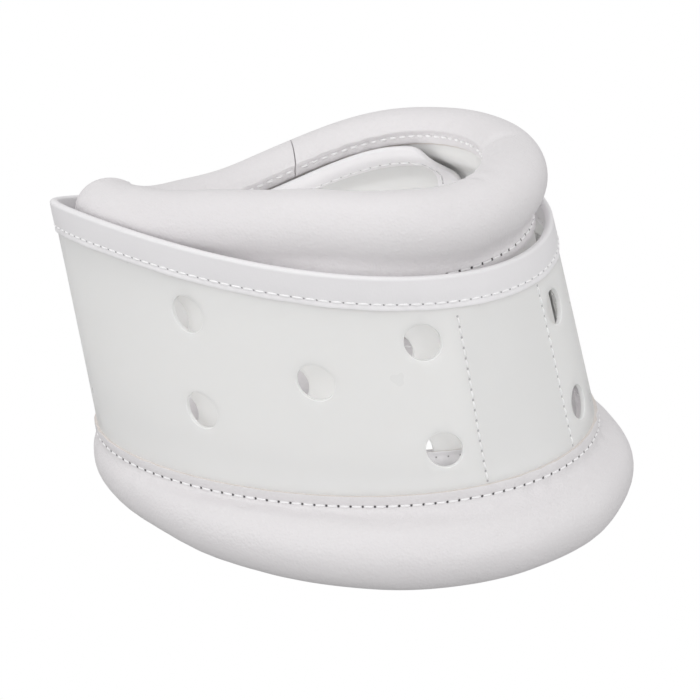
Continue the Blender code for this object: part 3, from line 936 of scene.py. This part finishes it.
def rounded_outline(angles, low, high, face, radius=3.0):
    """A rectangle of (angle, z) with rounded corners."""
    a0, a1 = angles
    middle = np.array([(a0 + a1) / 2])
    z = np.array([(low + high) / 2])
    per_degree = np.linalg.norm(face(middle + 0.5, z) - face(middle - 0.5, z))
    points = []
    for ca, cz, begin in ((a1, high, 0), (a0, high, 90), (a0, low, 180), (a1, low, 270)):
        sx = -1 if ca == a1 else 1
        sz = -1 if cz == high else 1
        for t in np.linspace(begin, begin + 90, 7):
            x = ca + (sx * radius + radius * math.cos(math.radians(t))) / per_degree
            points.append((x, cz + sz * radius + radius * math.sin(math.radians(t))))
    return densify(np.array(points), per_degree)


def densify(points, per_degree, spacing=2.5):
    out = []
    for a, b in zip(points, np.roll(points, -1, axis=0)):
        size = math.hypot((b[0] - a[0]) * per_degree, b[1] - a[1])
        for t in np.linspace(0, 1, max(int(size / spacing), 1), endpoint=False):
            out.append(a + (b - a) * t)
    return np.array(out)


def metric_for(face, start, end, z):
    fine = np.linspace(start, end, 200)
    return fine, arc_length(lambda a: face(a, np.full(len(a), z)), fine)


def pad(name, face, angles, heights, inset, thick, material, body, node):
    start, end = min(angles), max(angles)
    outline = rounded_outline((start, end), heights[0], heights[1], face)
    metric = metric_for(face, start - 3, end + 3, sum(heights) / 2)
    obj = plate(name, face, outline, [], 2.5, lambda a: inset + 0 * a, thick, 0.25, [material], metric)
    rides(obj, body, node)


def tab_inset(angle):
    """The tab leaves the band's inner face and runs inside the other end."""
    t = np.clip((TAB_START - np.asarray(angle, float)) / 12.5, 0, 1)
    return np.maximum(TAB_INSET * t * t * (3 - 2 * t), 3.3)


def tab_heights(angle):
    left = np.asarray(angle, float) - TAB_END
    drop = TAB_ROUND - np.sqrt(np.maximum(TAB_ROUND ** 2 - np.maximum(TAB_ROUND - left, 0) ** 2, 0))
    return TAB_BOTTOM + drop, roll_height(angle) + TAB_TOP - drop


def tab_outline(start):
    body = np.linspace(start, TAB_END + TAB_ROUND, 24, endpoint=False)
    tip = TAB_END + TAB_ROUND * (1 - np.sin(np.linspace(0, math.pi / 2, 12)))
    angles = np.concatenate([body, tip])
    low, high = tab_heights(angles)
    top, bottom = np.stack([angles, high], -1), np.stack([angles, low], -1)[::-1]
    gap = np.linalg.norm(top[-1] - bottom[0])
    return np.concatenate([top, bottom[1:] if gap < 0.1 else bottom])


def tab_sheet():
    outline = densify(tab_outline(TAB_START), 1.0)
    metric = metric_for(upper_face, TAB_END - 4, TAB_START + 4, TAB_MIDDLE[1])
    obj = plate("closure_tab", upper_face, outline, [], GRID, tab_inset, SHEET, RIM,
                [M["sheet"], M["rim"]], metric)
    rides(obj, "upper_front", "upper_band_front")


def tab_path(start):
    """The tab's edge from its top start round its free end, with the inward direction at each point."""
    path = tab_outline(start)
    fine = densify_open(path, 1.0)
    along = np.gradient(fine, axis=0)
    along = along / np.maximum(np.linalg.norm(along, axis=1, keepdims=True), 1e-9)
    inward = np.stack([-along[:, 1], along[:, 0]], -1)
    flip = ((TAB_MIDDLE - fine) * inward).sum(1) < 0
    inward[flip] *= -1
    return fine, inward


def densify_open(points, spacing):
    length = np.concatenate([[0.0], np.cumsum(np.linalg.norm(np.diff(points, axis=0), axis=1))])
    want = np.linspace(0, length[-1], int(length[-1] / spacing) + 1)
    return np.stack([np.interp(want, length, points[:, 0]), np.interp(want, length, points[:, 1])], -1)


def tab_tape():
    fine, inward = tab_path(TAB_START - 0.5)
    depth, seam = UPPER_TAPE_DEPTH, UPPER_TAPE_SEAM
    down = depth, depth - 0.8, seam + 0.8, seam, seam - 0.8, 3.0, 1.0, 0.2
    path, outer = fold(down, (0.0, 0.05, 0.0, -0.12, 0.0, 0.04, 0.0, 0.0))
    base = tab_inset(fine[:, 0])
    loops = np.empty((len(fine), len(path), 3))
    for k, (inset, d) in enumerate(path):
        at = fine + inward * d
        loops[:, k] = upper_face(at[:, 0], at[:, 1], base + inset)
    arc = np.concatenate([[0.0], np.cumsum(np.linalg.norm(np.diff(loops[:, 0], axis=0), axis=1))])
    across = np.tile(np.array([(d - seam) / PITCH for _, d in path]), (len(fine), 1))
    obj = sweep("closure_tab_tape", loops, [M["tape"], M["edge"]], arc / PITCH, across, outer)
    rides(obj, "upper_front", "tab_tape")
    seam_line = fine + inward * seam
    inner = upper_face(seam_line[:, 0], seam_line[:, 1], base + SHEET + SNUG + TAPE - 0.1)
    want = np.arange(0.0, arc[-1], PITCH)
    places = np.stack([np.interp(want, arc, inner[:, k]) for k in range(3)], -1)
    angles = np.interp(want, arc, seam_line[:, 0])
    obj = stitch_row("closure_tab_stitches", places, -lower_normal(angles))
    rides(obj, "upper_front", "tab_thread")


def closure():
    heights = (TAB_BOTTOM + 9.5, PAD_TOP)
    pad("closure_hook_pad", upper_face, (-86.0, -119.0), heights, TAB_INSET - 1.3, 1.25, M["hook"],
        "upper_front", "tab_hook_pad")
    pad("closure_loop_pad", upper_face, (241.0, 276.0), heights, SHEET + 0.05, 1.2, M["loop"],
        "upper_rear", "end_loop_pad")
    tab_sheet()
    tab_tape()


def height_patches():
    a, b = PATCH_ANGLES
    for side, (start, end) in {"left": (a, b), "right": (360 - b, 360 - a)}.items():
        angles = start + 1.2, end - 1.2
        pad(f"height_hook_patch_{side}", lower_face, angles, PATCH_HEIGHTS, SHEET + 0.05, 1.5,
            M["hook"], "lower_rear", f"hook_patch_{side}")
        pad(f"height_loop_patch_{side}", upper_face, angles, LOOP_HEIGHTS, -1.5, 1.45,
            M["loop"], "upper_rear", f"loop_patch_{side}")
        for number, angle in enumerate((start, end), 1):
            low = float(base_height(np.array([angle]))[0]) + 0.8
            high = float(edge_height(np.array([angle]))[0]) - TAPE_DEPTH
            straight_seam(f"patch_stitches_{side}_{number}", angle, low, high, "lower_rear",
                          f"patch_thread_{side}_{number}")


# ---------------------------------------------------------------- assembly

def lower_parts():
    low = lambda a: base_height(a) - LOWER_SHEET_GRIP
    band("lower_band", lower_face, low, edge_height, LOWER_VENTS, "lower", "lower_band")
    edge_tape("lower_edge_tape", lower_face, edge_height, TAPE_DEPTH, TAPE_SEAM, True, "lower",
              "lower_top_tape")
    ring_stitches("lower_edge_stitches",
                  face_seam(lower_face, lambda a: edge_height(a) - TAPE_SEAM, -SNUG - TAPE + 0.14),
                  lambda a: lower_face(a, edge_height(a)), "lower", "lower_tape_thread")
    end = lambda a: base_height(a) - LOWER_ROLL["z"][0]
    roll("base_roll", LOWER_ROLL, lower_face, 1, (end, end), LOWER_SEAM, 21, "lower", "lower_roll_cover")
    foam("base_roll_foam", LOWER_ROLL, lower_face, 1, "lower", "lower_roll_foam")
    for word, sign in (("outer", 1), ("inner", -1)):
        seam = roll_seam(LOWER_ROLL, lower_face, 1, end, LOWER_SEAM, sign)
        ring_stitches(f"base_roll_{word}_stitches", seam, lambda a: ring(LOWER_ROLL, a), "lower",
                      "lower_roll_thread")


def upper_parts():
    low = lambda a: UPPER_SHEET_END + 0 * np.asarray(a, float)
    high = lambda a: roll_height(a) + UPPER_SHEET_TOP
    band("upper_band", upper_face, low, high, UPPER_VENTS, "upper", "upper_band")
    edge_tape("upper_edge_tape", upper_face, low, UPPER_TAPE_DEPTH, UPPER_TAPE_SEAM, False, "upper",
              "upper_bottom_tape")
    ends = [lambda a, end=end: -end + 0 * np.asarray(a, float) for end in (OUTER_LEG_END, INNER_LEG_END)]
    roll("head_roll", UPPER_ROLL, upper_face, -1, ends, UPPER_SEAM, 33, "upper", "upper_roll_cover")
    foam("head_roll_foam", UPPER_ROLL, upper_face, -1, "upper", "upper_roll_foam")
    for word, sign, end, size in (("outer", 1, ends[0], THREAD), ("inner", -1, ends[1], INNER_HEAD_THREAD)):
        seam = roll_seam(UPPER_ROLL, upper_face, -1, end, UPPER_SEAM, sign)
        ring_stitches(f"head_roll_{word}_stitches", seam, lambda a: ring(UPPER_ROLL, a), "upper",
                      "upper_roll_thread", size)


# ---------------------------------------------------------------- stage

def floor():
    """A plain white floor that glows as brightly as the paper sweep of a studio."""
    mesh = bpy.data.meshes.new("floor")
    mesh.from_pydata([(-4, -4, 0), (4, -4, 0), (4, 4, 0), (-4, 4, 0)], [], [(0, 1, 2, 3)])
    n = Nodes("white_floor")
    seen = n.new("LightPath", "Is Camera Ray", {})
    glow = n.new("MapRange", 0, {"Value": seen, "To Min": FLOOR_LIGHT})
    n.finish(Base_Color=(0, 0, 0, 1), Roughness=1.0, Specular_IOR_Level=0.0, Emission_Color=(1, 1, 1, 1))
    put(n.tree, n.shader, "Emission Strength", glow)
    mesh.materials.append(n.material)
    obj = bpy.data.objects.new("floor", mesh)
    bpy.context.scene.collection.objects.link(obj)


def area_light(name, place, target, size, power):
    data = bpy.data.lights.new(name, "AREA")
    data.shape, data.size, data.energy = "DISK", size, power
    obj = bpy.data.objects.new(name, data)
    obj.location = place
    obj.rotation_euler = (Vector(target) - Vector(place)).to_track_quat("-Z", "Y").to_euler()
    bpy.context.scene.collection.objects.link(obj)


def lighting():
    world = bpy.data.worlds.new("studio")
    bpy.context.scene.world = world
    world.use_nodes = True
    tree = world.node_tree
    place = add_node(tree, "TexCoord", {}).outputs["Generated"]
    height = add_node(tree, "SeparateXYZ", {0: place}).outputs["Z"]
    levels = {"From Min": 0.05, "From Max": 0.85, "To Min": SIDE_LIGHT, "To Max": TOP_LIGHT}
    rise = add_node(tree, "MapRange", {"Value": height, **levels}).outputs[0]
    seen = add_node(tree, "LightPath", {}).outputs["Is Camera Ray"]
    strength = add_node(tree, "Mix", {0: seen, 2: rise, 3: 1.0}).outputs[0]
    put(tree, tree.nodes["Background"], "Strength", strength)
    put(tree, tree.nodes["Background"], "Color", (1, 1, 1, 1))
    for name, place, size, power in SOFTBOXES:
        area_light(name, place, (0.0, 0.0, 0.07), size, power)
    data = bpy.data.lights.new("inner_lamp", "POINT")
    data.energy, data.shadow_soft_size = INNER_LIGHT, 0.02
    lamp = bpy.data.objects.new("inner_lamp", data)
    lamp.location = (0.0, 0.0, 0.07)
    lamp.visible_camera = False
    bpy.context.scene.collection.objects.link(lamp)
    bpy.context.scene.view_settings.view_transform = "Standard"


def camera():
    """The viewer stands at the wearer's left, a little behind, looking slightly down."""
    data = bpy.data.cameras.new("camera")
    data.lens = 36.0 * 1700 / 700
    data.sensor_width = 36.0
    data.shift_y = -25.6 / 700
    azimuth, elevation, distance = math.radians(99.5), math.radians(22.0), 0.587
    target = Vector((0.0, 0.0031, 0.060))
    back = Vector((math.sin(azimuth) * math.cos(elevation), -math.cos(azimuth) * math.cos(elevation),
                   math.sin(elevation)))
    obj = bpy.data.objects.new("camera", data)
    obj.location = target + back * distance
    obj.rotation_euler = (-back).to_track_quat("-Z", "Y").to_euler()
    bpy.context.scene.collection.objects.link(obj)
    bpy.context.scene.camera = obj


camera()
lighting()
floor()
lower_parts()
upper_parts()
height_patches()
closure()
